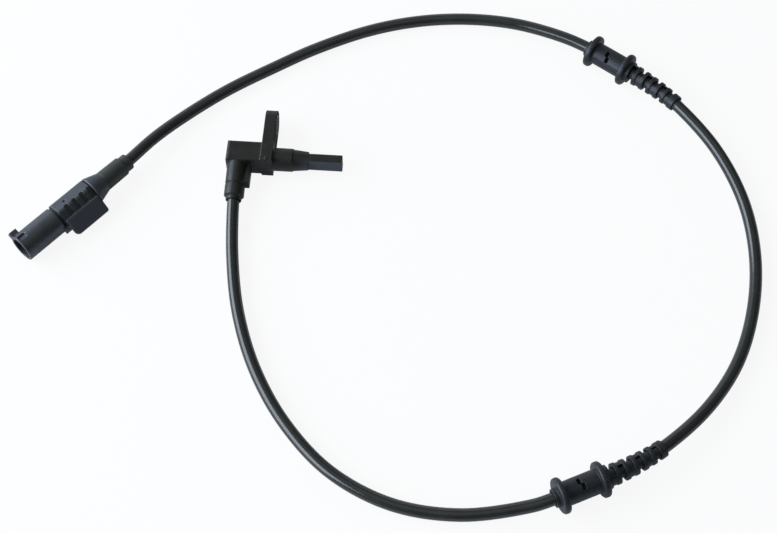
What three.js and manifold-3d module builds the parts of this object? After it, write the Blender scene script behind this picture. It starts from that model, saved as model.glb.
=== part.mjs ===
// Wheel speed sensor: moulded head with a flanged probe, cable with two rubber grommets, two-pin connector.
// Millimetres, +Z up, lying on a table at z = 0. The probe points along +X.
import * as THREE from 'three';
import { mergeVertices } from 'three/addons/utils/BufferGeometryUtils.js';
import Module from 'manifold-3d';

const wasm = await Module();
wasm.setup();

// Cable
const cableDiameter = 5.2;
const cableSides = 10;
const cableSteps = 80;
const cableClearance = 0.3;
const seatGap = 0.3;
const tableGap = 0.1;
const wireDiameter = 1.5;
const wireSides = 8;
const wireSteps = 14;
const wirePairOffset = 0.95;

// How far a cut or a joined solid runs past its neighbour, and how many sides the round shapes get
const past = 1;
const sides = { large: 36, middle: 28, barrel: 24, small: 20, tiny: 16 };

// Head block and flange
const blockHeight = 11.0;
const blockLength = 14.9;
const blockFront = 4.5;
const blockBack = 5.3;
const blockEdge = 1.0;
const blockRearRound = 1.4;
const flangeHeight = 12.3;
const flangeThickness = 5.1;
const boltOffset = 18.0;
const bushDiameter = 9.4;
const bushBore = 6.6;
const bushChamfer = 0.3;
const pipDiameter = 1.3;
const pipHeight = 0.2;
const pipInset = 0.9;

// Probe
const probeReach = 29.8;
const rootDiameter = 10.0;
const rootLength = 8.7;
const rootChamfer = 0.3;
const neckDiameter = 9.3;
const neckEndDiameter = 8.0;
const neckLength = 6.5;
const tipFront = 2.2;
const tipBack = 1.7;
const tipHeight = 7.8;
const tipEdge = 0.8;
const tipWall = 0.8;

// Cable boss on the head
const bossDiameter = 8.6;
const bossInset = 0.6;
const bossRoot = 3.0;
const bossLength = 15.6;
const bossTilt = 9;
const bossHeight = 6.8;
const bossChamfer = 1.1;
const bossGrooveAt = 8.9;
const bossGrooveWidth = 0.8;
const bossGrooveDepth = 0.4;
const bossLipDiameter = 6.8;
const bossLipLength = 1.0;
const ribReach = 6.0;
const ribForward = 9.0;
const ribHeight = 5.2;
const ribTop = 1.3;

// Inside of the head
const chamberWall = 1.8;
const rootBore = 6.6;
const carrierThickness = 0.9;
const carrierHeight = 4.4;
const carrierStart = 3.0;
const chipLength = 4.2;
const chipHeight = 3.4;
const chipThickness = 0.6;
const chipInset = 0.5;
const capacitorLength = 3.2;
const capacitorHeight = 1.6;
const leadWidth = 0.8;
const leadThickness = 0.4;
const leadSpacing = 2.6;
const cableInHead = 6.7;
const wireTurn = [2.8, -0.3];
const wireTurnSpread = [1.0, -0.9, 0.2];
const wireStraight = 2.0;

// Grommets with strain relief boots
const grommetFlangeDiameter = 14.6;
const grommetFlangeThickness = 2.8;
const grommetFlangeRound = 1.0;
const grommetPitch = 17.0;
const grommetBarrelDiameter = 9.9;
const grommetCollarDiameter = 7.6;
const grommetCollarLength = 1.7;
const shoulderDiameter = 9.8;
const shoulderEnd = 3.1;
const firstSlotAt = 4.2;
const slotPitch = 3.95;
const slotWidth = 2.3;
const slotCount = 6;
const bootLength = 28.0;
const bootRootDiameter = 9.3;
const bootTipDiameter = 7.2;
const bootClearance = 0.45;
const bridgeStart = 1.5;
const bridgeDrop = 0.4;
const bendStart = 4.0;
const barrelMarkWidth = 1.5;
const barrelMarkLength = 2.4;
const barrelMarkDepth = 1.7;
const barrelMarkAt = 8.1;
const barrelMarkShift = 0.5;
const barrelMarkAngles = [88, 242];

// Connector
const connectorHeight = 6.35;
const shroudDiameter = 12.1;
const shroudLength = 20.4;
const shroudWall = 1.2;
const shroudDepth = 14.5;
const shroudFloor = 3.0;
const shroudEdge = 0.2;
const shellGrooveWidth = 1.4;
const shellGrooveDepth = 1.0;
const shellDiameter = 12.5;
const shellLength = 17.6;
const shellWall = 1.6;
const plainFacetAngle = 106;
const plainFacetDistance = 5.6;
const gripFacetAngle = 50;
const gripFacetDistance = 5.85;
const gripFirst = 4.5;
const gripPitch = 4.1;
const gripCount = 4;
const gripWidth = 1.9;
const gripDepth = 0.9;
const tongueLength = 17.8;
const tongueStart = 0.4;
const tongueWidth = 9.8;
const tongueInner = 1.2;
const tongueRise = 0.25;
const tongueThickness = 2.0;
const tongueAngle = 45;
const tongueEdge = 0.7;
const tongueFrontCorner = 2.2;
const tongueRearCorner = 1.0;
const dimpleAt = 26.0;
const dimpleDiameter = 1.3;
const dimpleDepth = 0.5;
const lugLength = 3.6;
const lugWidth = 3.2;
const lugProud = 1.9;
const lugSunk = 0.8;
const lugAngle = 157;
const keywayStart = 0.8;
const keywayLength = 3.4;
const keywayWidth = 2.5;
const keywayDepth = 0.9;
const keywayAngle = 97;
const footLength = 3.4;
const footWidth = 3.0;
const footProud = 1.3;
const footOnShell = 1.5;
const footAngle = -12;
const pinDiameter = 1.5;
const pinSpacing = 4.2;
const pinReach = 9.5;
const pinTaper = 0.8;
const guardThickness = 1.6;
const terminalBlockLength = 8.0;
const wireSealDiameter = 3.2;
const wireSealLength = 5.0;
const capLength = 7.0;
const capEndDiameter = 8.9;
const capSpigotLength = 3.0;
const capWall = 1.4;
const capRim = 1.0;
const capEdge = 0.4;
const bootTubeDiameter = 8.9;
const bootTubeEnd = 8.6;
const bootTubeLength = 11.0;
const bootTailDiameter = 7.2;
const bootTailLength = 3.5;
const bootCollarDiameter = 7.4;
const bootCollarLength = 3.4;
const cableInBoot = 2.0;
const bootEdge = 0.4;
const wireGather = 0.75;

// Where the pieces lie, seen from the probe axis at the flange's seating face
const grommetHeight = grommetFlangeDiameter / 2 + tableGap;
const lowerGrommet = { x: 124.9, y: -146.5, heading: 26.6, bend: 11.4, roll: 0 };
const upperGrommet = { x: 137.3, y: 66.7, heading: -33.5, bend: -11.8, roll: 180 };
const connectorPlace = { x: -99.9, y: -51.6, heading: 50.9 };

// Centreline of the cable, from inside the boss to inside the connector's boot: lying on the table,
// lifted at each grommet, and lifted again at the connector
const lying = cableDiameter / 2 + tableGap;
const cableRoute = [
  [-15.1, -11.1, 5.75], [-15.1, -20.9, 4.2], [-12.5, -47.7, 2.9], [-7.0, -74.1, lying],
  [2.7, -99.2, lying], [17.2, -122.0, lying], [36.4, -140.8, 2.75], [60.6, -152.4, 2.9],
  [87.4, -155.2, 3.5], [113.7, -151.2, 7.0], [121.3, -148.3, grommetHeight],
  [lowerGrommet.x, lowerGrommet.y, grommetHeight], [140.1, -138.9, grommetHeight],
  [143.7, -137.1, grommetHeight], [153.7, -131.4, grommetHeight], [163.5, -124.6, grommetHeight],
  [181.9, -105.5, 5.0], [195.6, -82.8, 2.85], [203.1, -57.2, lying], [205.0, -30.6, lying],
  [201.0, -4.3, 2.85], [189.7, 19.7, 5.25], [172.9, 40.2, grommetHeight], [164.4, 48.0, grommetHeight],
  [154.8, 55.1, grommetHeight], [151.4, 57.3, grommetHeight],
  [upperGrommet.x, upperGrommet.y, grommetHeight], [133.9, 68.9, grommetHeight], [123.6, 74.2, 6.9],
  [102.6, 82.1, 4.6], [80.4, 84.9, 2.9], [58.1, 82.3, 2.75], [36.1, 75.5, lying], [12.4, 63.4, lying],
  [-6.0, 51.2, lying], [-24.0, 38.2, 2.8], [-40.0, 23.7, 3.25], [-52.6, 8.6, 5.4],
  [-62.4, -5.4, connectorHeight], [-72.1, -17.4, connectorHeight],
];

// Worked out from the values above
const probeHeight = flangeHeight / 2;
const blockRear = -(flangeThickness + blockLength);
const bossX = blockRear + bossDiameter / 2 + bossInset;
const bossEnd = bossLength + bossLipLength;
const bossSlope = THREE.MathUtils.degToRad(bossTilt);
const bossReach = blockFront + bossEnd * Math.cos(bossSlope) + bossLipDiameter / 2 * Math.sin(bossSlope);
const earReach = boltOffset + flangeHeight / 2;
const blockBottom = probeHeight - blockHeight / 2;
const blockTop = probeHeight + blockHeight / 2;
const centreX = (probeReach + blockRear) / 2;
const centreY = (earReach - bossReach) / 2;

const plastic = { colour: 0x2b2e31, roughness: 0.5, metalness: 0 };
const rubber = { colour: 0x232629, roughness: 0.75, metalness: 0 };
const jacket = { colour: 0x1b1e20, roughness: 0.35, metalness: 0 };
const innerPlastic = { colour: 0x4a4d50, roughness: 0.6, metalness: 0 };
const steel = { colour: 0xa9adb0, roughness: 0.35, metalness: 1 };
const tinned = { colour: 0xc4c0b4, roughness: 0.3, metalness: 1 };
const epoxy = { colour: 0x16181a, roughness: 0.45, metalness: 0 };
const sealRubber = { colour: 0x8a5a36, roughness: 0.7, metalness: 0 };

function toSolid(geometry) {
  const bare = geometry.index ? geometry.toNonIndexed() : geometry.clone();
  bare.deleteAttribute('normal');
  bare.deleteAttribute('uv');
  const merged = mergeVertices(bare, 1e-4);
  const corners = merged.index.array;
  const kept = [];
  for (let i = 0; i < corners.length; i += 3) {
    const [a, b, c] = [corners[i], corners[i + 1], corners[i + 2]];
    if (a !== b && b !== c && c !== a) kept.push(a, b, c);
  }
  const vertProperties = new Float32Array(merged.attributes.position.array);
  if (signedVolume(vertProperties, kept) < 0) kept.reverse();
  return new wasm.Manifold(new wasm.Mesh({ numProp: 3, vertProperties, triVerts: new Uint32Array(kept) }));
}

function signedVolume(positions, corners) {
  const [a, b, c] = [new THREE.Vector3(), new THREE.Vector3(), new THREE.Vector3()];
  let volume = 0;
  for (let i = 0; i < corners.length; i += 3) {
    a.fromArray(positions, corners[i] * 3);
    b.fromArray(positions, corners[i + 1] * 3);
    c.fromArray(positions, corners[i + 2] * 3);
    volume += a.dot(b.cross(c));
  }
  return volume;
}

function fromSolid(solid) {
  const mesh = solid.getMesh();
  const positions = new Float32Array(mesh.numVert * 3);
  for (let i = 0; i < mesh.numVert; i++) {
    positions.set(mesh.vertProperties.subarray(i * mesh.numProp, i * mesh.numProp + 3), i * 3);
  }
  const geometry = new THREE.BufferGeometry();
  geometry.setAttribute('position', new THREE.BufferAttribute(positions, 3));
  geometry.setIndex(new THREE.BufferAttribute(new Uint32Array(mesh.triVerts), 1));
  geometry.computeVertexNormals();
  return geometry;
}

function piece(name, solid, look) {
  const material = new THREE.MeshStandardMaterial({
    color: look.colour,
    roughness: look.roughness,
    metalness: look.metalness,
  });
  const mesh = new THREE.Mesh(fromSolid(solid), material);
  mesh.name = name;
  return mesh;
}

// A solid of revolution about the X axis; points are [along X, radius]
function turned(points, segments) {
  const profile = points.map(([along, radius]) => new THREE.Vector2(radius, along));
  return toSolid(new THREE.LatheGeometry(profile, segments).rotateZ(-Math.PI / 2));
}

function rod(from, to, diameter, segments) {
  return turned([[from, 0], [from, diameter / 2], [to, diameter / 2], [to, 0]], segments);
}

function box(x0, x1, y0, y1, z0, z1) {
  const geometry = new THREE.BoxGeometry(x1 - x0, y1 - y0, z1 - z0);
  return toSolid(geometry.translate((x0 + x1) / 2, (y0 + y1) / 2, (z0 + z1) / 2));
}

// An outline drawn in Y and Z, pushed along X from x0 to x1
function pushed(shape, x0, x1, curveSegments = 6) {
  const geometry = new THREE.ExtrudeGeometry(shape, { depth: x1 - x0, bevelEnabled: false, curveSegments });
  const turn = new THREE.Matrix4().makeBasis(
    new THREE.Vector3(0, 1, 0), new THREE.Vector3(0, 0, 1), new THREE.Vector3(1, 0, 0));
  return toSolid(geometry.applyMatrix4(turn).translate(x0, 0, 0));
}

function roundedOutline(y0, y1, z0, z1, radius) {
  const shape = new THREE.Shape();
  shape.moveTo(y0 + radius, z0);
  shape.lineTo(y1 - radius, z0);
  shape.absarc(y1 - radius, z0 + radius, radius, -Math.PI / 2, 0);
  shape.lineTo(y1, z1 - radius);
  shape.absarc(y1 - radius, z1 - radius, radius, 0, Math.PI / 2);
  shape.lineTo(y0 + radius, z1);
  shape.absarc(y0 + radius, z1 - radius, radius, Math.PI / 2, Math.PI);
  shape.lineTo(y0, z0 + radius);
  shape.absarc(y0 + radius, z0 + radius, radius, Math.PI, 1.5 * Math.PI);
  return shape;
}

function tubeAlong(points, diameter, corners, steps) {
  const curve = new THREE.CatmullRomCurve3(points.map((p) => new THREE.Vector3(...p)), false, 'centripetal');
  const section = new THREE.Shape();
  for (let i = 0; i < corners; i++) {
    const angle = (i + 0.5) * 2 * Math.PI / corners;
    section[i ? 'lineTo' : 'moveTo'](diameter / 2 * Math.cos(angle), diameter / 2 * Math.sin(angle));
  }
  section.closePath();
  return toSolid(new THREE.ExtrudeGeometry(section, { steps, bevelEnabled: false, extrudePath: curve }));
}

// A solid on the surface of a round body about X: it is made at the +Z side and turned to its angle,
// which counts from the -Y side upwards
function aroundX(solid, degrees) {
  return solid.rotate([90 - degrees, 0, 0]);
}

// The boss runs from inside the block towards -Y and slopes down to the cable
function onBoss(solid) {
  return solid.rotate([0, bossTilt, 0]).rotate([0, 0, -90]).translate([bossX, -blockFront, bossHeight]);
}

function headHousing() {
  const blockOutline = roundedOutline(-blockFront, blockBack, blockBottom, blockTop, blockEdge);
  const blockSide = roundedOutline(past, -blockRear, blockBottom, blockTop, blockRearRound);
  const sideways = pushed(blockSide, -blockFront - past, blockBack + past).rotate([0, 0, 90]);
  const block = pushed(blockOutline, blockRear, -past).intersect(sideways);
  const ear = new THREE.Shape();
  ear.moveTo(-blockFront, 0);
  ear.lineTo(boltOffset, 0);
  ear.absarc(boltOffset, probeHeight, flangeHeight / 2, -Math.PI / 2, Math.PI / 2);
  ear.lineTo(-blockFront, flangeHeight);
  const flange = pushed(ear, -flangeThickness, 0, 24);
  const pip = rod(0, flangeHeight + pipHeight, pipDiameter, sides.tiny).rotate([0, -90, 0])
    .translate([-flangeThickness / 2, -blockFront + pipInset, 0]);
  const root = turned([
    [-past, 0], [-past, rootDiameter / 2], [rootLength - rootChamfer, rootDiameter / 2],
    [rootLength, rootDiameter / 2 - rootChamfer], [rootLength, 0],
  ], sides.large).translate([0, 0, probeHeight]);
  const neckEnd = rootLength + neckLength;
  const neck = turned([
    [rootLength - past, 0], [rootLength - past, neckDiameter / 2], [rootLength, neckDiameter / 2],
    [neckEnd, neckEndDiameter / 2], [neckEnd, 0],
  ], sides.large).translate([0, 0, probeHeight]);
  const tip = pushed(
    roundedOutline(-tipFront, tipBack, probeHeight - tipHeight / 2,
      probeHeight + tipHeight / 2, tipEdge), neckEnd - past, probeReach);
  const grooveFloor = bossDiameter / 2 - bossGrooveDepth;
  const boss = onBoss(turned([
    [-bossRoot, 0], [-bossRoot, bossDiameter / 2], [bossGrooveAt, bossDiameter / 2],
    [bossGrooveAt, grooveFloor], [bossGrooveAt + bossGrooveWidth, grooveFloor],
    [bossGrooveAt + bossGrooveWidth, bossDiameter / 2], [bossLength - bossChamfer, bossDiameter / 2],
    [bossLength, bossDiameter / 2 - bossChamfer], [bossLength, bossLipDiameter / 2],
    [bossEnd, bossLipDiameter / 2], [bossEnd, 0],
  ], sides.middle));
  const rib = box(bossX, bossX + ribReach, -blockFront - ribForward, -blockFront + past,
    bossHeight + ribTop - ribHeight, bossHeight + ribTop);
  const boltHole = rod(-flangeThickness - past, past, bushDiameter + 2 * seatGap, sides.middle)
    .translate([0, boltOffset, probeHeight]);
  const chamber = box(blockRear + chamberWall, -flangeThickness / 2, -blockFront + chamberWall,
    blockBack - chamberWall, blockBottom + chamberWall, blockTop - chamberWall);
  const rootHollow = rod(-flangeThickness, neckEnd - past, rootBore, sides.small)
    .translate([0, 0, probeHeight]);
  const tipHollow = box(neckEnd - 2 * past, probeReach - tipWall,
    -tipFront + tipWall, tipBack - tipWall,
    probeHeight - tipHeight / 2 + tipWall, probeHeight + tipHeight / 2 - tipWall);
  const cableBore = onBoss(rod(-blockFront, bossEnd + past, cableDiameter + 2 * cableClearance, sides.small));
  return block.add(flange).add(pip).add(root).add(neck).add(tip).add(boss).add(rib)
    .subtract(boltHole).subtract(chamber).subtract(rootHollow).subtract(tipHollow).subtract(cableBore);
}

function mountingBush() {
  const [outer, inner] = [bushDiameter / 2, bushBore / 2];
  const front = -flangeThickness;
  return turned([
    [front, inner + bushChamfer], [front, outer - bushChamfer], [front + bushChamfer, outer],
    [-bushChamfer, outer], [0, outer - bushChamfer], [0, inner + bushChamfer], [-bushChamfer, inner],
    [front + bushChamfer, inner], [front, inner + bushChamfer],
  ], sides.middle).translate([0, boltOffset, probeHeight]);
}

function headInside() {
  const carrierY = -tipFront + tipWall + seatGap;
  const carrierTop = carrierY + carrierThickness;
  const carrierEnd = probeReach - tipWall - seatGap;
  const low = probeHeight - carrierHeight / 2;
  const high = probeHeight + carrierHeight / 2;
  const carrier = box(carrierStart, carrierEnd, carrierY, carrierTop, low, high);
  const chipY = carrierTop + seatGap;
  const chipEnd = carrierEnd - chipInset;
  const chip = box(chipEnd - chipLength, chipEnd, chipY, chipY + chipThickness,
    probeHeight - chipHeight / 2, probeHeight + chipHeight / 2);
  const capacitorX = rootLength;
  const capacitor = box(capacitorX, capacitorX + capacitorLength, chipY, chipY + chipThickness,
    probeHeight - capacitorHeight / 2, probeHeight + capacitorHeight / 2);
  const pieces = [
    piece('chip_carrier', carrier, innerPlastic),
    piece('sensing_chip', chip, epoxy),
    piece('filter_capacitor', capacitor, innerPlastic),
  ];
  for (const side of [-1, 1]) {
    const leadZ = probeHeight + side * leadSpacing / 2;
    const leadEnd = chipEnd - chipLength - seatGap;
    const lead = box(carrierStart, leadEnd, chipY, chipY + leadThickness,
      leadZ - leadWidth / 2, leadZ + leadWidth / 2);
    const wireX = bossX + side * wirePairOffset;
    const wireY = -blockFront - cableInHead + seatGap;
    const slope = Math.tan(bossSlope);
    const wire = tubeAlong([
      [wireX, wireY, bossHeight + (wireY + blockFront) * slope],
      [wireX, -blockFront + chamberWall, bossHeight + chamberWall * slope],
      [bossX + wireTurn[0] + side * wireTurnSpread[0], wireTurn[1] + side * wireTurnSpread[1],
        (bossHeight + leadZ) / 2 + side * wireTurnSpread[2]],
      [-flangeThickness - wireStraight, 0, leadZ],
      [carrierStart - seatGap, 0, leadZ],
    ], wireDiameter, wireSides, wireSteps);
    const number = side < 0 ? 1 : 2;
    pieces.push(piece(`lead_${number}`, lead, tinned), piece(`head_wire_${number}`, wire, innerPlastic));
  }
  return pieces;
}

// Turns a straight grommet into one whose boot follows the cable's bend
function bent(solid, from, length, degrees) {
  const curvature = THREE.MathUtils.degToRad(degrees) / length;
  return solid.warp((point) => {
    const along = point[0] - from;
    if (along <= 0) return;
    const angle = along * curvature;
    const offset = point[1];
    point[0] = from + Math.sin(angle) / curvature - offset * Math.sin(angle);
    point[1] = (1 - Math.cos(angle)) / curvature + offset * Math.cos(angle);
  });
}

function grommetFlange(centre) {
  const [radius, half] = [grommetFlangeDiameter / 2, grommetFlangeThickness / 2];
  const rim = [];
  for (let i = 0; i <= 3; i++) {
    const angle = i * Math.PI / 6;
    rim.push([
      half - grommetFlangeRound * (1 - Math.sin(angle)),
      radius - grommetFlangeRound * (1 - Math.cos(angle)),
    ]);
  }
  const left = rim.map(([along, out]) => [centre - along, out]).reverse();
  const right = rim.map(([along, out]) => [centre + along, out]);
  return turned([[centre - half, 0], ...left, ...right, [centre + half, 0]], sides.middle);
}

// One moulding: two flanges, a barrel between them, and rings that bridges join on alternate sides
function grommet(place) {
  const bootEnd = grommetPitch + bootLength;
  const barrel = rod(0, grommetPitch, grommetBarrelDiameter, sides.barrel);
  const collarStart = -grommetFlangeThickness / 2 - grommetCollarLength;
  const collar = rod(collarStart, 0, grommetCollarDiameter, sides.barrel);
  const shoulder = rod(grommetPitch, grommetPitch + shoulderEnd, shoulderDiameter, sides.barrel);
  const boot = turned([
    [grommetPitch, 0], [grommetPitch, bootRootDiameter / 2], [bootEnd, bootTipDiameter / 2], [bootEnd, 0],
  ], sides.barrel);
  let body = boot;
  for (let i = 0; i < slotCount; i++) {
    const alongBoot = firstSlotAt + i * slotPitch;
    const from = grommetPitch + alongBoot - slotWidth / 2;
    const to = from + slotWidth;
    const width = THREE.MathUtils.lerp(bootRootDiameter, bootTipDiameter, alongBoot / bootLength);
    const open = box(from, to, -bridgeStart, width, -width, width);
    const recess = box(from, to, -width, width, -width, width)
      .subtract(rod(from - past, to + past, width - 2 * bridgeDrop, sides.tiny));
    body = body.subtract(open.add(recess).rotate([i % 2 ? 180 : 0, 0, 0]));
  }
  const outline = barrel.add(collar).add(shoulder).add(body)
    .add(grommetFlange(0)).add(grommetFlange(grommetPitch));
  const bendFrom = grommetPitch + bendStart;
  const barrelBore = rod(-grommetPitch, bendFrom, cableDiameter + 2 * cableClearance, sides.small);
  const bootBore = rod(bendFrom - past, bootEnd + past, cableDiameter + 2 * bootClearance, sides.small);
  const floor = grommetBarrelDiameter / 2 - barrelMarkDepth;
  let straight = outline.subtract(barrelBore).subtract(bootBore);
  for (const angle of barrelMarkAngles) {
    for (const side of [-1, 1]) {
      const middle = barrelMarkAt + side * barrelMarkShift;
      const mark = box(middle - barrelMarkWidth / 2, middle + barrelMarkWidth / 2,
        Math.min(0, -side * barrelMarkLength), Math.max(0, -side * barrelMarkLength),
        floor, floor + 2 * past);
      straight = straight.subtract(aroundX(mark, angle));
    }
  }
  const rolled = straight.rotate([place.roll, 0, 0]);
  return bent(rolled, bendFrom, bootLength - bendStart, place.bend);
}

function placedGrommet(name, place) {
  const mesh = piece(name, grommet(place), rubber);
  mesh.position.set(place.x, place.y, grommetHeight);
  mesh.rotation.z = THREE.MathUtils.degToRad(place.heading);
  return mesh;
}

// Stations along the connector, from the mouth of the shroud
const shellEnd = shroudLength + shellLength;
const capEnd = shellEnd + seatGap + capLength;
const bootTubeStart = capEnd + seatGap;
const bootTubeStop = bootTubeStart + bootTubeLength;
const collarStop = bootTubeStop + bootCollarLength;
const floorEnd = shroudDepth + shroudFloor;
const terminalStart = floorEnd + seatGap;
const terminalEnd = terminalStart + terminalBlockLength;
const jacketStart = bootTubeStart - bootTailLength + cableInBoot;

// The flat wing on the shell's side, with rounded outer corners and edges
function tongue() {
  const front = shroudLength + tongueStart;
  const rear = front + tongueLength;
  const plan = new THREE.Shape();
  plan.moveTo(front, -tongueInner);
  plan.lineTo(front, tongueFrontCorner - tongueWidth);
  plan.absarc(front + tongueFrontCorner, tongueFrontCorner - tongueWidth, tongueFrontCorner,
    Math.PI, 1.5 * Math.PI);
  plan.lineTo(rear - tongueRearCorner, -tongueWidth);
  plan.absarc(rear - tongueRearCorner, tongueRearCorner - tongueWidth, tongueRearCorner,
    1.5 * Math.PI, 2 * Math.PI);
  plan.lineTo(rear, -tongueInner);
  const geometry = new THREE.ExtrudeGeometry(plan, {
    depth: tongueThickness - 2 * tongueEdge,
    bevelThickness: tongueEdge,
    bevelSize: tongueEdge,
    bevelOffset: -tongueEdge,
    bevelSegments: 3,
    curveSegments: 5,
  });
  return toSolid(geometry.translate(0, 0, shellDiameter / 2 + tongueRise - tongueThickness + tongueEdge));
}

function connectorShell() {
  const [shroud, shell] = [shroudDiameter / 2, shellDiameter / 2];
  const grooveFloor = shroud - shellGrooveDepth;
  let body = turned([
    [0, 0], [0, shroud - shroudEdge], [shroudEdge, shroud], [shroudLength - shellGrooveWidth, shroud],
    [shroudLength - shellGrooveWidth, grooveFloor], [shroudLength, grooveFloor],
    [shroudLength, shell], [shellEnd, shell], [shellEnd, 0],
  ], sides.large);
  const facets = [[plainFacetAngle, plainFacetDistance], [gripFacetAngle, gripFacetDistance]];
  for (const [angle, distance] of facets) {
    const facet = box(shroudLength, shellEnd + past, -shell, shell, distance, shell + past);
    body = body.subtract(aroundX(facet, angle));
  }
  for (let i = 0; i < gripCount; i++) {
    const middle = shroudLength + gripFirst + i * gripPitch;
    const groove = box(middle - gripWidth / 2, middle + gripWidth / 2, -shell, shell,
      gripFacetDistance - gripDepth, shell);
    body = body.subtract(aroundX(groove, gripFacetAngle));
  }
  const lug = box(0, lugLength, -lugWidth / 2, lugWidth / 2, shroud - lugSunk, shroud + lugProud);
  const footEnd = shroudLength + footOnShell;
  const foot = box(footEnd - footLength, footEnd, -footWidth / 2, footWidth / 2,
    shroud - past, shroud + footProud);
  const keyway = box(keywayStart, keywayStart + keywayLength, -keywayWidth / 2, keywayWidth / 2,
    shroud - keywayDepth, shroud + past);
  body = body.add(aroundX(tongue(), tongueAngle)).add(aroundX(lug, lugAngle))
    .add(aroundX(foot, footAngle)).subtract(aroundX(keyway, keywayAngle));
  const dimple = rod(plainFacetDistance - dimpleDepth, shell + past, dimpleDiameter, sides.tiny)
    .rotate([0, -90, 0]).translate([dimpleAt, 0, 0]);
  body = body.subtract(aroundX(dimple, plainFacetAngle));
  const mouth = rod(-past, shroudDepth, shroudDiameter - 2 * shroudWall, sides.large);
  const rearHollow = rod(floorEnd, shellEnd + past, shellDiameter - 2 * shellWall, sides.large);
  const capRoom = rod(shellEnd, capEnd, shellDiameter + 2 * seatGap, sides.large);
  body = body.subtract(mouth).subtract(rearHollow).subtract(capRoom);
  for (const side of [-1, 1]) {
    const hole = rod(shroudDepth - past, floorEnd + past, pinDiameter + 2 * seatGap, sides.small);
    body = body.subtract(hole.translate([0, side * pinSpacing / 2, 0]));
  }
  return body;
}

// A round disc with a hole for each of the two contacts
function twoHoleDisc(from, to, diameter, hole) {
  let disc = rod(from, to, diameter, sides.middle);
  for (const side of [-1, 1]) {
    const drill = rod(from - past, to + past, hole, sides.small);
    disc = disc.subtract(drill.translate([0, side * pinSpacing / 2, 0]));
  }
  return disc;
}

function rearCap() {
  const spigot = shellDiameter / 2 - shellWall - seatGap;
  const inner = spigot - capWall;
  const tailHole = bootTailDiameter / 2 + seatGap;
  const start = shellEnd - capSpigotLength;
  const face = shellEnd + seatGap;
  const step = bootTubeStart - bootTailLength - seatGap;
  return turned([
    [start, inner], [start, spigot], [face, spigot], [face, shellDiameter / 2 - capEdge],
    [face + capEdge, shellDiameter / 2], [face + capRim, shellDiameter / 2],
    [capEnd, capEndDiameter / 2], [capEnd, tailHole], [step, tailHole], [step, inner], [start, inner],
  ], sides.large);
}

function cableBoot() {
  const bore = cableDiameter / 2 + cableClearance;
  const tail = bootTubeStart - bootTailLength;
  return turned([
    [tail, bore], [tail, bootTailDiameter / 2], [bootTubeStart, bootTailDiameter / 2],
    [bootTubeStart, bootTubeDiameter / 2], [bootTubeStop - bootEdge, bootTubeEnd / 2],
    [bootTubeStop, bootTubeEnd / 2 - bootEdge], [bootTubeStop, bootCollarDiameter / 2],
    [collarStop - bootEdge, bootCollarDiameter / 2], [collarStop, bootCollarDiameter / 2 - bootEdge],
    [collarStop, bore], [tail, bore],
  ], sides.large);
}

function connectorPieces() {
  const inside = shroudDiameter - 2 * shroudWall - 2 * seatGap;
  const blockWidth = shellDiameter - 2 * shellWall - 2 * seatGap;
  const guard = twoHoleDisc(shroudDepth - guardThickness - seatGap, shroudDepth - seatGap, inside,
    pinDiameter + 2 * seatGap);
  const terminalBlock = twoHoleDisc(terminalStart, terminalEnd, blockWidth,
    wireSealDiameter + 2 * seatGap);
  const pieces = [
    piece('connector_shell', connectorShell(), plastic),
    piece('terminal_guard', guard, innerPlastic),
    piece('terminal_block', terminalBlock, innerPlastic),
    piece('connector_rear_cap', rearCap(), plastic),
    piece('connector_boot', cableBoot(), rubber),
  ];
  const sealStart = terminalEnd - wireSealLength;
  for (const side of [-1, 1]) {
    const number = side < 0 ? 1 : 2;
    const y = side * pinSpacing / 2;
    const pinTip = shroudDepth - pinReach;
    const pin = turned([
      [pinTip, 0], [pinTip, pinDiameter / 4], [pinTip + pinTaper, pinDiameter / 2],
      [sealStart - past, pinDiameter / 2], [sealStart - past, 0],
    ], sides.tiny).translate([0, y, 0]);
    const seal = rod(sealStart, terminalEnd, wireSealDiameter, sides.small)
      .subtract(rod(sealStart - past, terminalEnd + past, wireDiameter + 2 * seatGap, sides.tiny))
      .translate([0, y, 0]);
    const wire = tubeAlong([
      [sealStart - past + seatGap, y, 0], [terminalEnd + past, y, 0],
      [(terminalEnd + jacketStart) / 2 + past, y * wireGather, 0],
      [jacketStart - wireStraight, side * wirePairOffset, 0],
      [jacketStart - seatGap, side * wirePairOffset, 0],
    ], wireDiameter, wireSides, wireSteps);
    pieces.push(
      piece(`contact_pin_${number}`, pin, tinned),
      piece(`wire_seal_${number}`, seal, sealRubber),
      piece(`connector_wire_${number}`, wire, innerPlastic),
    );
  }
  return pieces;
}

const connector = new THREE.Group();
connector.add(...connectorPieces());
connector.position.set(connectorPlace.x, connectorPlace.y, connectorHeight);
connector.rotation.z = THREE.MathUtils.degToRad(connectorPlace.heading);

const sensor = new THREE.Group();
sensor.add(
  piece('head_housing', headHousing(), plastic),
  piece('mounting_bush', mountingBush(), steel),
  ...headInside(),
  piece('cable', tubeAlong(cableRoute, cableDiameter, cableSides, cableSteps), jacket),
  placedGrommet('lower_grommet', lowerGrommet),
  placedGrommet('upper_grommet', upperGrommet),
  connector,
);
// The origin is under the middle of the head
sensor.position.set(-centreX, -centreY, 0);

const model = new THREE.Group();
model.add(sensor);

export default model;
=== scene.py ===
"""Looks, cable, light and camera for the wheel speed sensor.

Metres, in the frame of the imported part: +X along the probe, +Z up, and the part lies on z = 0.
"""
import math

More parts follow.
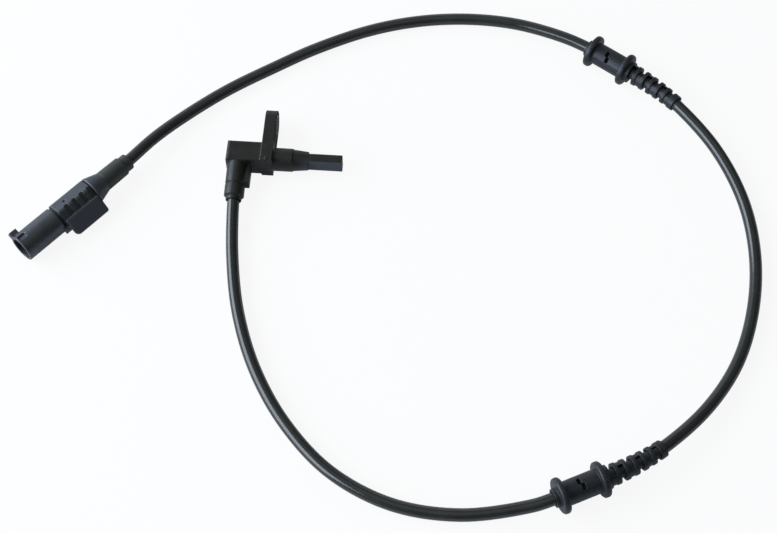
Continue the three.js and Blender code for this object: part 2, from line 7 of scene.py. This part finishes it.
import bmesh
import bpy
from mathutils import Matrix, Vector


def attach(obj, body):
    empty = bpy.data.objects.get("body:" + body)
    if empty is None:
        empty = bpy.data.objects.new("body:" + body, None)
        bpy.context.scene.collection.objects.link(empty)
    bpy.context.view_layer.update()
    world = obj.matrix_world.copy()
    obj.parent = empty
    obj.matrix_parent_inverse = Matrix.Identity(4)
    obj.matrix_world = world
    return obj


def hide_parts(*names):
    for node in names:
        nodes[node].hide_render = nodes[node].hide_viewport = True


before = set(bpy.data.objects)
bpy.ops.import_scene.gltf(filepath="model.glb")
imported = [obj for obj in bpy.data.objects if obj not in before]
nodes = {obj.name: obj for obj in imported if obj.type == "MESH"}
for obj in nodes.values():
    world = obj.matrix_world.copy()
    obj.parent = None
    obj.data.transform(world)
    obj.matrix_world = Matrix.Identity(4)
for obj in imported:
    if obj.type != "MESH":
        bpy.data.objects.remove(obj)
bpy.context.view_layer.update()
scene = bpy.context.scene

# Camera, as fitted to the photo
CAMERA_LENS = 71.34
CAMERA_SENSOR = 36.0
CAMERA_PLACE = (0.06908, -0.36850, 0.55689)
CAMERA_TURN = (30.0, 0.0, 3.8)

# The cable's centreline, from inside the head's boss to inside the connector's boot
CABLE_DIAMETER = 0.0052
CABLE_STEPS = 10
CABLE_ROUTE = [
    (-0.0200, -0.0125, 0.00575), (-0.0200, -0.0223, 0.00420), (-0.0174, -0.0491, 0.00290),
    (-0.0119, -0.0755, 0.00270), (-0.0022, -0.1006, 0.00270), (0.0123, -0.1234, 0.00270),
    (0.0315, -0.1422, 0.00275), (0.0557, -0.1538, 0.00290), (0.0825, -0.1566, 0.00350),
    (0.1088, -0.1526, 0.00700), (0.1164, -0.1497, 0.00740), (0.1200, -0.1479, 0.00740),
    (0.1352, -0.1403, 0.00740), (0.1388, -0.1385, 0.00740), (0.1488, -0.1328, 0.00740),
    (0.1586, -0.1260, 0.00740), (0.1770, -0.1069, 0.00500), (0.1907, -0.0842, 0.00285),
    (0.1982, -0.0586, 0.00270), (0.2001, -0.0320, 0.00270), (0.1961, -0.0057, 0.00285),
    (0.1848, 0.0183, 0.00525), (0.1680, 0.0388, 0.00740), (0.1595, 0.0466, 0.00740),
    (0.1499, 0.0537, 0.00740), (0.1465, 0.0559, 0.00740), (0.1324, 0.0653, 0.00740),
    (0.1290, 0.0675, 0.00740), (0.1187, 0.0728, 0.00690), (0.0977, 0.0807, 0.00460),
    (0.0755, 0.0835, 0.00290), (0.0532, 0.0809, 0.00275), (0.0312, 0.0741, 0.00270),
    (0.0075, 0.0620, 0.00270), (-0.0109, 0.0498, 0.00270), (-0.0289, 0.0368, 0.00280),
    (-0.0449, 0.0223, 0.00325), (-0.0575, 0.0072, 0.00540), (-0.0673, -0.0068, 0.00635),
    (-0.0770, -0.0188, 0.00635),
]

# Where each piece's own axis starts, and its heading in degrees
CONNECTOR = ((-0.1048, -0.0529612, 0.00635), 50.9)
GROMMETS = (((0.1200, -0.1478612, 0.0074), 26.6), ((0.1324, 0.0653388, 0.0074), -33.5))
PROBE_PLACE = (-0.0049, -0.0013612, 0.0)

# Short cylinders on those axes that get painted shade, and painted light on the cap's rim: start, end, radius
SHELL_GROOVE = (0.0190, 0.0204, 0.0056)
KEYWAY = (0.0010, 0.0043, 0.0056)
CAP_JOINT = (0.0378, 0.0385, 0.0080)
CAP_RIM = (0.0385, 0.0395, 0.0080)
BARREL_MARK = (0.0060, 0.0102, 0.0046)
BOOT_SPAN = (0.0170, 0.0455, 0.0070)
BORDER = 0.0001

# Faces that get painted light on the tongue and the tip, and painted shade on the ear's seat
TONGUE_TILT = 45.0
TONGUE_FACE = 0.0065
TONGUE_FADE = (0.0002, 0.00005)
NECK_START = 0.0100
TIP_START = 0.0152
TIP_FLAT = -0.0022
TIP_FADE = 0.0003
SEAT_DEPTH = 0.0003
EAR_START = 0.0056
EAR_FADE = 0.0005

# The painted shade and painted light: colour, roughness
# Painted shade in the shell's groove, at the cap's joint and in the barrels' marks
PAINTED_SHADE = ((0.0012, 0.0012, 0.0012), 0.85)
# Painted shade, with duller gloss, on the jacket inside the grommets' boots
BOOT_SHADED_JACKET = ((0.008, 0.008, 0.0075), 0.55)
# Painted shade inside the connector's mouth and its keyway
KEYWAY_SHADE = ((0.008, 0.008, 0.006), 0.6)
# Painted light: a paler, bluer flat face on the tongue
TONGUE_LIGHT = ((0.027, 0.030, 0.037), 0.45)
# Painted light: a paler band on the rear cap's rim
CAP_RIM_LIGHT = ((0.040, 0.043, 0.050), 0.42)
# Painted light: a paler, bluer flat on the probe's tip
TIP_LIGHT = ((0.026, 0.028, 0.036), 0.40)
# Painted shade on the ear's seating face
SEAT_SHADE = ((0.0050, 0.0050, 0.0042), 0.80)

# Nearly all of a noise's values lie between these
NOISE_LOW = 0.3
NOISE_HIGH = 0.7

# How moulded surfaces wear on edges, and the painted shade that darkens them in hollows
EDGE_WEAR = 0.3
EDGE_TINT = 1.4
# Painted shade in hollows: how much, and how dark against the dark colour
HOLLOW_SHADE = 0.9
HOLLOW_SHADE_TINT = 0.15

# Moulded surfaces: dark and light colour, roughness, grain's size and depth, specular level and tint
MOULDED = {
    "head_plastic": (
        (0.0074, 0.0078, 0.0046), (0.0130, 0.0136, 0.0084), 0.42, 0.0004, 0.000012, 0.32, (0.90, 0.90, 1.0)),
    "connector_plastic": (
        (0.0090, 0.0098, 0.0075), (0.0155, 0.0168, 0.0130), 0.43, 0.00035, 0.000012, 0.85, (0.80, 0.84, 1.0)),
    "grommet_rubber": (
        (0.0080, 0.0086, 0.0085), (0.0140, 0.0150, 0.0145), 0.44, 0.0005, 0.000015, 0.42, (0.82, 0.86, 1.0)),
    "boot_rubber": ((0.0135, 0.0150, 0.0135), (0.0225, 0.0248, 0.0225), 0.5, 0.0005, 0.000015),
    "inner_plastic": ((0.03, 0.032, 0.035), (0.05, 0.053, 0.057), 0.5, 0.0004, 0.00001),
    "chip_epoxy": ((0.008, 0.008, 0.009), (0.014, 0.014, 0.015), 0.5, 0.0002, 0.000006),
    "ceramic": ((0.28, 0.2, 0.12), (0.36, 0.27, 0.17), 0.5, 0.0003, 0.000006),
    "wire_insulation": ((0.05, 0.05, 0.05), (0.08, 0.08, 0.08), 0.4, 0.0006, 0.000008),
    "seal_rubber": ((0.3, 0.11, 0.04), (0.38, 0.15, 0.06), 0.6, 0.0005, 0.00001),
    "rear_cap_plastic": (
        (0.026, 0.028, 0.029), (0.036, 0.039, 0.040), 0.45, 0.00035, 0.000012, 0.6, (0.82, 0.86, 1.0)),
}

# Metals: dark and light colour, roughness, how dense the lines are along each axis
METALS = {
    "bush_steel": ((0.10, 0.10, 0.095), (0.17, 0.17, 0.16), 0.5, (9000.0, 400.0, 400.0)),
    "tinned_brass": ((0.55, 0.53, 0.48), (0.68, 0.66, 0.6), 0.3, (700.0, 700.0, 5000.0)),
}
METAL_BUMP = 0.00001

# Cable jacket
JACKET_DARK = (0.0125, 0.0135, 0.0122)
JACKET_LIGHT = (0.0195, 0.0210, 0.0190)
JACKET_GLOSS = (0.15, 0.23)

# The connector boot's shoulder lies just past CAP_END, and is brought closer to the rear cap
CAP_END = 0.0453
SHOULDER_DEPTH = 0.0007
SHOULDER_RADIUS = 0.0039
SHOULDER_SHIFT = 0.00025

# Mouldings with softened edges: node, slot, look, rounds of smoothing, voxel size
KEPT_FACES = 0.4
MOULDINGS = {
    "head_moulding": ("head_housing", "head_plastic", "head_plastic", 3, 0.00016),
    "plug_shell": ("connector_shell", "connector_plastic", "connector_plastic", 3, 0.00015),
    "plug_rear_cap": ("connector_rear_cap", "connector_plastic", "rear_cap_plastic", 3, 0.00015),
    "plug_cable_boot": ("connector_boot", "boot_rubber", "boot_rubber", 4, 0.00015),
    "grommet_a": ("lower_grommet", "grommet_rubber", "grommet_rubber", 3, 0.00015),
    "grommet_b": ("upper_grommet", "grommet_rubber", "grommet_rubber", 3, 0.00015),
}

# CAD solids that stay, by the slot of their finish
DRESSED = {
    "bush_steel": ["mounting_bush"],
    "inner_plastic": ["chip_carrier", "terminal_guard", "terminal_block"],
    "chip_epoxy": ["sensing_chip"],
    "ceramic": ["filter_capacitor"],
    "tinned_brass": ["lead_1", "lead_2", "contact_pin_1", "contact_pin_2"],
    "wire_insulation": ["head_wire_1", "head_wire_2", "connector_wire_1", "connector_wire_2"],
    "seal_rubber": ["wire_seal_1", "wire_seal_2"],
}

# Floor: how much of it glows white to the camera, and how dim and bluish it is in gloss
FLOOR_REACH = 12
FLOOR_DROP = 0.0002
FLOOR_COLOUR = (0.72, 0.72, 0.72)
FLOOR_GLOW = 0.90
FLOOR_IN_GLOSS = 0.33
FLOOR_IN_GLOSS_TINT = (0.78, 0.86, 1.0)
WHITE = (1.0, 1.0, 1.0)

# Room: dim sides and a brighter ceiling, by a direction's height on the unit sphere
BACKDROP = (0.97, 0.975, 0.98)
ROOM_SIDES = (0.16, 0.18, 0.175)
ROOM_CEILING = (0.58, 0.60, 0.58)
SIDES_END = 0.84
CEILING_START = 0.97

# Lamps: azimuth and elevation in degrees, distance, width and height, power, colour
SOFTBOXES = {
    "window": (185.0, 28.5, 1.5, (2.3, 1.2), 62.0, (0.78, 0.87, 1.0)),
    "back_left": (110.0, 24.0, 1.8, (2.5, 1.4), 8.5, (0.84, 0.90, 1.0)),
}
LAMPS_AIM = Vector((0.05, -0.03, 0.0))


def make_camera():
    data = bpy.data.cameras.new("camera")
    data.lens = CAMERA_LENS
    data.sensor_width = CAMERA_SENSOR
    data.clip_start = 0.01
    data.clip_end = 20.0
    camera = bpy.data.objects.new("camera", data)
    camera.location = CAMERA_PLACE
    camera.rotation_euler = [math.radians(a) for a in CAMERA_TURN]
    scene.collection.objects.link(camera)
    scene.camera = camera


def calculated(tree, operation, first, second):
    """The result of a sum on one socket and another socket or number."""
    node = tree.nodes.new("ShaderNodeMath")
    node.operation = operation
    tree.links.new(first, node.inputs[0])
    if isinstance(second, float):
        node.inputs[1].default_value = second
    else:
        tree.links.new(second, node.inputs[1])
    return node.outputs[0]


def mixed(tree, amount, first, second):
    """A colour between two, by an amount from 0 to 1. Each is a socket or plain numbers."""
    node = tree.nodes.new("ShaderNodeMix")
    node.data_type = "RGBA"
    tree.links.new(amount, node.inputs[0])
    for colour, socket in ((first, node.inputs[6]), (second, node.inputs[7])):
        if isinstance(colour, tuple):
            socket.default_value = (*colour, 1.0)
        else:
            tree.links.new(colour, socket)
    return node.outputs[2]


class Look:
    """A material and the few nodes that most of them share."""

    def __init__(self, name):
        self.material = bpy.data.materials.new(name)
        self.material.use_nodes = True
        self.tree = self.material.node_tree
        self.shader = self.tree.nodes["Principled BSDF"]
        self.place = self.add("ShaderNodeTexCoord").outputs["Object"]

    def add(self, kind, **values):
        node = self.tree.nodes.new(kind)
        for key, value in values.items():
            setattr(node, key, value)
        return node

    def link(self, source, target):
        self.tree.links.new(source, target)

    def set(self, **values):
        for key, value in values.items():
            self.shader.inputs[key.replace("_", " ")].default_value = value

    def noise(self, size, detail=3.0, roughness=0.5):
        """Noise whose features are about that many metres across."""
        node = self.add("ShaderNodeTexNoise")
        node.inputs["Scale"].default_value = 1.0 / size
        node.inputs["Detail"].default_value = detail
        node.inputs["Roughness"].default_value = roughness
        self.link(self.place, node.inputs["Vector"])
        return node.outputs["Fac"]

    def mottled(self, source, dark, light):
        """A colour that runs from dark to light with a noise."""
        node = self.add("ShaderNodeValToRGB")
        for element, at, colour in zip(node.color_ramp.elements, (NOISE_LOW, NOISE_HIGH), (dark, light)):
            element.position = at
            element.color = (*colour, 1.0)
        self.link(source, node.inputs["Fac"])
        return node.outputs["Color"]

    def span(self, source, low, high, start=NOISE_LOW, end=NOISE_HIGH):
        """Runs from low to high while the source runs from start to end."""
        node = self.add("ShaderNodeMapRange")
        node.inputs["From Min"].default_value = start
        node.inputs["From Max"].default_value = end
        node.inputs["To Min"].default_value = low
        node.inputs["To Max"].default_value = high
        self.link(source, node.inputs["Value"])
        return node.outputs["Result"]

    def bend(self):
        """Above 0.5 on outer edges, below 0.5 in hollows."""
        return self.add("ShaderNodeNewGeometry").outputs["Pointiness"]

    def frame(self, place, turn):
        """Coordinates along a piece's own axes, from where it lies and its turn in degrees."""
        node = self.add("ShaderNodeMapping", vector_type="TEXTURE")
        node.inputs["Location"].default_value = place
        node.inputs["Rotation"].default_value = [math.radians(a) for a in turn]
        self.link(self.place, node.inputs["Vector"])
        split = self.add("ShaderNodeSeparateXYZ")
        self.link(node.outputs["Vector"], split.inputs[0])
        return split.outputs

    def product(self, first, second):
        return calculated(self.tree, "MULTIPLY", first, second)

    def inside(self, piece, part):
        """1 inside a short cylinder on a piece's own axis, and 0 outside it."""
        place, heading = piece
        start, end, radius = part
        x, y, z = self.frame(place, (0.0, 0.0, heading))
        away = calculated(self.tree, "ADD", self.product(y, y), self.product(z, z))
        near = self.span(away, 1.0, 0.0, (radius - BORDER) ** 2, (radius + BORDER) ** 2)
        after = self.span(x, 0.0, 1.0, start - BORDER, start + BORDER)
        before = self.span(x, 1.0, 0.0, end - BORDER, end + BORDER)
        return self.product(near, self.product(after, before))

    def paint(self, where, colour, roughness):
        """Another colour and roughness over part of the surface."""
        base, gloss = self.shader.inputs["Base Color"], self.shader.inputs["Roughness"]
        self.link(mixed(self.tree, where, base.links[0].from_socket, colour), base)
        node = self.add("ShaderNodeMix", data_type="FLOAT")
        self.link(where, node.inputs[0])
        self.link(gloss.links[0].from_socket, node.inputs[2])
        node.inputs[3].default_value = roughness
        self.link(node.outputs[0], gloss)

    def bump(self, source, depth, below=None):
        """Raises the surface by that many metres where the source is 1."""
        node = self.add("ShaderNodeBump")
        node.inputs["Strength"].default_value = 1.0
        node.inputs["Distance"].default_value = depth
        self.link(source, node.inputs["Height"])
        if below is not None:
            self.link(below, node.inputs["Normal"])
        return node.outputs["Normal"]


def moulded(name, dark, light, roughness, grain, depth, shine=0.5, tint=WHITE):
    """Plastic or rubber: mottled colour, uneven gloss, fine spark-eroded grain and slow waviness."""
    look = Look(name)
    colour = look.mottled(look.noise(0.006, 4.0, 0.6), dark, light)
    rubbed = look.span(look.bend(), 0.0, EDGE_WEAR, 0.505, 0.55)
    colour = mixed(look.tree, rubbed, colour, tuple(EDGE_TINT * c for c in light))
    # Painted shade: darker colour in hollows, where pointiness is low
    hollow_shade = look.span(look.bend(), HOLLOW_SHADE, 0.0, 0.44, 0.49)
    colour = mixed(look.tree, hollow_shade, colour, tuple(HOLLOW_SHADE_TINT * c for c in dark))
    look.link(colour, look.shader.inputs["Base Color"])
    gloss = look.span(look.noise(0.0025, 5.0, 0.65), roughness - 0.06, roughness + 0.08)
    look.link(gloss, look.shader.inputs["Roughness"])
    waves = look.bump(look.noise(0.005, 2.0), depth * 3)
    look.link(look.bump(look.noise(grain, 2.0, 0.6), depth, waves), look.shader.inputs["Normal"])
    look.set(Specular_IOR_Level=shine, Specular_Tint=(*tint, 1.0))
    return look


def metal(name, dark, light, roughness, stretch):
    """Turned or plated metal with fine lines."""
    look = Look(name)
    scale = look.add("ShaderNodeMapping")
    scale.inputs["Scale"].default_value = stretch
    look.link(look.place, scale.inputs["Vector"])
    node = look.add("ShaderNodeTexNoise")
    node.inputs["Scale"].default_value = 1.0
    node.inputs["Detail"].default_value = 4.0
    look.link(scale.outputs["Vector"], node.inputs["Vector"])
    lines = node.outputs["Fac"]
    look.link(look.mottled(lines, dark, light), look.shader.inputs["Base Color"])
    look.link(look.span(lines, roughness - 0.08, roughness + 0.1), look.shader.inputs["Roughness"])
    look.link(look.bump(lines, METAL_BUMP), look.shader.inputs["Normal"])
    look.set(Metallic=1.0)
    return look


def cable_look():
    """Extruded jacket: nearly smooth, glossy, with faint draw waves and dust-fine marks."""
    look = Look("cable_jacket")
    colour = look.mottled(look.noise(0.012, 3.0), JACKET_DARK, JACKET_LIGHT)
    look.link(colour, look.shader.inputs["Base Color"])
    look.link(look.span(look.noise(0.003, 4.0, 0.6), *JACKET_GLOSS), look.shader.inputs["Roughness"])
    waves = look.bump(look.noise(0.006, 1.0), 0.00001)
    look.link(look.bump(look.noise(0.0006, 3.0, 0.6), 0.0000015, waves), look.shader.inputs["Normal"])
    return look


def paint_connector_light_and_shade(shell, cap):
    """Painted light on the tongue's flat face and the cap's rim, and painted shade in the groove, the keyway
    and the joint.
    """
    place, heading = CONNECTOR
    height = shell.frame(place, (TONGUE_TILT, 0.0, heading))[2]
    start, end = (TONGUE_FACE - below for below in TONGUE_FADE)
    # Painted light on the tongue's flat face
    shell.paint(shell.span(height, 0.0, 1.0, start, end), *TONGUE_LIGHT)
    # Painted shade in the groove between the shroud and the body
    shell.paint(shell.inside(CONNECTOR, SHELL_GROOVE), *PAINTED_SHADE)
    # Painted shade inside the mouth and its keyway
    shell.paint(shell.inside(CONNECTOR, KEYWAY), *KEYWAY_SHADE)
    # Painted shade at the joint between the shell and the rear cap
    for look in (shell, cap):
        look.paint(look.inside(CONNECTOR, CAP_JOINT), *PAINTED_SHADE)
    # Painted light on the cap's rim
    cap.paint(cap.inside(CONNECTOR, CAP_RIM), *CAP_RIM_LIGHT)


def paint_grommet_shade(rubber, jacket):
    """Painted shade in the barrels' marks, and painted shade with duller gloss on the jacket inside the
    boots.
    """
    for grommet in GROMMETS:
        # Painted shade in the barrels' recessed marks
        rubber.paint(rubber.inside(grommet, BARREL_MARK), *PAINTED_SHADE)
        # Painted shade and duller gloss on the jacket inside the boot
        jacket.paint(jacket.inside(grommet, BOOT_SPAN), *BOOT_SHADED_JACKET)


def paint_head_light_and_shade(look):
    """Painted light on the tip's flat, which fades in along the neck, and painted shade on the ear's seating
    face.
    """
    x, y, _ = look.frame(PROBE_PLACE, (0.0, 0.0, 0.0))
    along = look.span(x, 0.0, 1.0, NECK_START, TIP_START)
    # Painted light on the tip's flat
    look.paint(look.product(along, look.span(y, 1.0, 0.0, TIP_FLAT, TIP_FLAT + TIP_FADE)), *TIP_LIGHT)
    # Painted shade on the ear's seating face
    behind = look.span(x, 0.0, 1.0, -SEAT_DEPTH, -SEAT_DEPTH / 2)
    seat = look.product(behind, look.span(x, 1.0, 0.0, SEAT_DEPTH / 2, SEAT_DEPTH))
    look.paint(look.product(seat, look.span(y, 0.0, 1.0, EAR_START, EAR_START + EAR_FADE)), *SEAT_SHADE)


def make_looks():
    looks = {name: moulded(name, *values) for name, values in MOULDED.items()}
    looks.update({name: metal(name, *values) for name, values in METALS.items()})
    looks["cable_jacket"] = cable_look()
    paint_connector_light_and_shade(looks["connector_plastic"], looks["rear_cap_plastic"])
    paint_grommet_shade(looks["grommet_rubber"], looks["cable_jacket"])
    paint_head_light_and_shade(looks["head_plastic"])
    return looks


def smooth_line(points, steps):
    """Points along a centripetal curve through the given ones."""
    path = [Vector(p) for p in points]
    path = [2 * path[0] - path[1]] + path + [2 * path[-1] - path[-2]]
    line = []
    for i in range(1, len(path) - 2):
        a, b, c, d = path[i - 1 : i + 3]
        t1 = (b - a).length ** 0.5
        t2 = t1 + (c - b).length ** 0.5
        t3 = t2 + (d - c).length ** 0.5
        for k in range(steps):
            t = t1 + (t2 - t1) * k / steps
            ab = a.lerp(b, t / t1)
            bc = b.lerp(c, (t - t1) / (t2 - t1))
            cd = c.lerp(d, (t - t2) / (t3 - t2))
            abc = ab.lerp(bc, t / t2)
            bcd = bc.lerp(cd, (t - t1) / (t3 - t1))
            line.append(abc.lerp(bcd, (t - t1) / (t2 - t1)))
    line.append(path[-2])
    return line


def make_cable():
    curve = bpy.data.curves.new("cable_jacket_line", "CURVE")
    curve.dimensions = "3D"
    curve.bevel_depth = CABLE_DIAMETER / 2
    curve.bevel_resolution = 7
    curve.use_fill_caps = True
    line = smooth_line(CABLE_ROUTE, CABLE_STEPS)
    spline = curve.splines.new("POLY")
    spline.points.add(len(line) - 1)
    for point, place in zip(spline.points, line):
        point.co = (*place, 1.0)
    spline.use_smooth = True
    curve.materials.append(LOOKS["cable_jacket"].material)
    piece = bpy.data.objects.new("cable_jacket", curve)
    scene.collection.objects.link(piece)
    length = sum((b - a).length for a, b in zip(line, line[1:]))
    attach(piece, "root")
    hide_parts("cable")
    return piece, length


def rounded(name, node, slot, look, smoothing, voxel):
    """A copy of a CAD solid with softly rounded moulded edges, shown in its place."""
    mesh = nodes[node].data.copy()
    cleaned = bmesh.new()
    cleaned.from_mesh(mesh)
    bmesh.ops.remove_doubles(cleaned, verts=cleaned.verts, dist=2e-6)
    cleaned.to_mesh(mesh)
    cleaned.free()
    mesh.materials.clear()
    piece = bpy.data.objects.new(name, mesh)
    scene.collection.objects.link(piece)
    remesh = piece.modifiers.new("skin", "REMESH")
    remesh.mode = "VOXEL"
    remesh.voxel_size = voxel
    remesh.use_smooth_shade = True
    soft = piece.modifiers.new("soft", "SMOOTH")
    soft.factor = 0.5
    soft.iterations = smoothing
    lighter = piece.modifiers.new("lighter", "DECIMATE")
    lighter.ratio = KEPT_FACES
    shown = bpy.data.meshes.new_from_object(piece.evaluated_get(bpy.context.evaluated_depsgraph_get()))
    shown.name = name
    shown.materials.append(LOOKS[look].material)
    piece.modifiers.clear()
    piece.data = shown
    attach(piece, "root")
    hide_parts(node)
    return piece


def seat_boot(piece):
    """Brings the boot's shoulder up to the rear cap, so that no dark gap shows between them."""
    place, heading = CONNECTOR
    turn = math.radians(heading)
    along = Vector((math.cos(turn), math.sin(turn), 0.0))
    for vertex in piece.data.vertices:
        reach = vertex.co - Vector(place)
        at = reach.dot(along)
        if CAP_END < at < CAP_END + SHOULDER_DEPTH and (reach - at * along).length > SHOULDER_RADIUS:
            vertex.co -= SHOULDER_SHIFT * along


def dress(node, slot):
    """A CAD solid that stays, with its finish."""
    nodes[node].data.materials.clear()
    nodes[node].data.materials.append(LOOKS[slot].material)


def paper_floor():
    """Pale floor, white to the camera and dimmer in gloss, which keeps a faint shadow."""
    r = FLOOR_REACH
    data = bpy.data.meshes.new("floor")
    data.from_pydata([(-r, -r, 0), (r, -r, 0), (r, r, 0), (-r, r, 0)], [], [(0, 1, 2, 3)])
    floor = bpy.data.objects.new("floor", data)
    floor.location = (0.0, 0.0, -FLOOR_DROP)
    scene.collection.objects.link(floor)
    paper = bpy.data.materials.new("floor_paper")
    paper.use_nodes = True
    tree = paper.node_tree
    tree.nodes.clear()
    output = tree.nodes.new("ShaderNodeOutputMaterial")
    mix = tree.nodes.new("ShaderNodeMixShader")
    diffuse = tree.nodes.new("ShaderNodeBsdfDiffuse")
    diffuse.inputs["Color"].default_value = (*FLOOR_COLOUR, 1.0)
    glow = tree.nodes.new("ShaderNodeEmission")
    glow.inputs["Strength"].default_value = 1.0
    path = tree.nodes.new("ShaderNodeLightPath").outputs
    tree.links.new(mixed(tree, path["Is Camera Ray"], FLOOR_IN_GLOSS_TINT, WHITE), glow.inputs["Color"])
    gloss = calculated(tree, "MAXIMUM", path["Is Glossy Ray"], path["Is Transmission Ray"])
    gloss = calculated(tree, "MULTIPLY", gloss, FLOOR_IN_GLOSS)
    seen = calculated(tree, "MAXIMUM", path["Is Camera Ray"], gloss)
    tree.links.new(calculated(tree, "MULTIPLY", seen, FLOOR_GLOW), mix.inputs["Fac"])
    tree.links.new(diffuse.outputs[0], mix.inputs[1])
    tree.links.new(glow.outputs[0], mix.inputs[2])
    tree.links.new(mix.outputs[0], output.inputs["Surface"])
    data.materials.append(paper)


def room_light():
    """A dim room with a brighter ceiling, which the camera sees as pale as the floor."""
    world = bpy.data.worlds.new("surround")
    world.use_nodes = True
    scene.world = world
    tree = world.node_tree
    back = tree.nodes["Background"]
    split = tree.nodes.new("ShaderNodeSeparateXYZ")
    ramp = tree.nodes.new("ShaderNodeValToRGB")
    low, high = ramp.color_ramp.elements
    low.position, low.color = SIDES_END, (*ROOM_SIDES, 1.0)
    high.position, high.color = CEILING_START, (*ROOM_CEILING, 1.0)
    tree.links.new(tree.nodes.new("ShaderNodeTexCoord").outputs["Generated"], split.inputs[0])
    tree.links.new(split.outputs["Z"], ramp.inputs["Fac"])
    camera_ray = tree.nodes.new("ShaderNodeLightPath").outputs["Is Camera Ray"]
    tree.links.new(mixed(tree, camera_ray, ramp.outputs["Color"], BACKDROP), back.inputs["Color"])
    back.inputs["Strength"].default_value = 1.0


def softbox(name, azimuth, elevation, distance, size, power, colour):
    """A rectangular lamp that faces the part from a direction given in degrees."""
    light = bpy.data.lights.new(name, "AREA")
    light.shape = "RECTANGLE"
    light.size, light.size_y = size
    light.energy = power
    light.color = colour
    lamp = bpy.data.objects.new(name, light)
    turn, lift = math.radians(azimuth), math.radians(elevation)
    way = Vector((math.cos(turn) * math.cos(lift), math.sin(turn) * math.cos(lift), math.sin(lift)))
    lamp.location = LAMPS_AIM + way * distance
    lamp.rotation_euler = (-way).to_track_quat("-Z", "Y").to_euler()
    scene.collection.objects.link(lamp)


LOOKS = make_looks()
make_camera()
cable, cable_length = make_cable()
paper_floor()
room_light()
for lamp_name, settings in SOFTBOXES.items():
    softbox(lamp_name, *settings)
scene.view_settings.view_transform = "Standard"

pieces = {name: rounded(name, *values) for name, values in MOULDINGS.items()}
seat_boot(pieces["plug_cable_boot"])
for slot_name, dressed in DRESSED.items():
    for node_name in dressed:
        dress(node_name, slot_name)
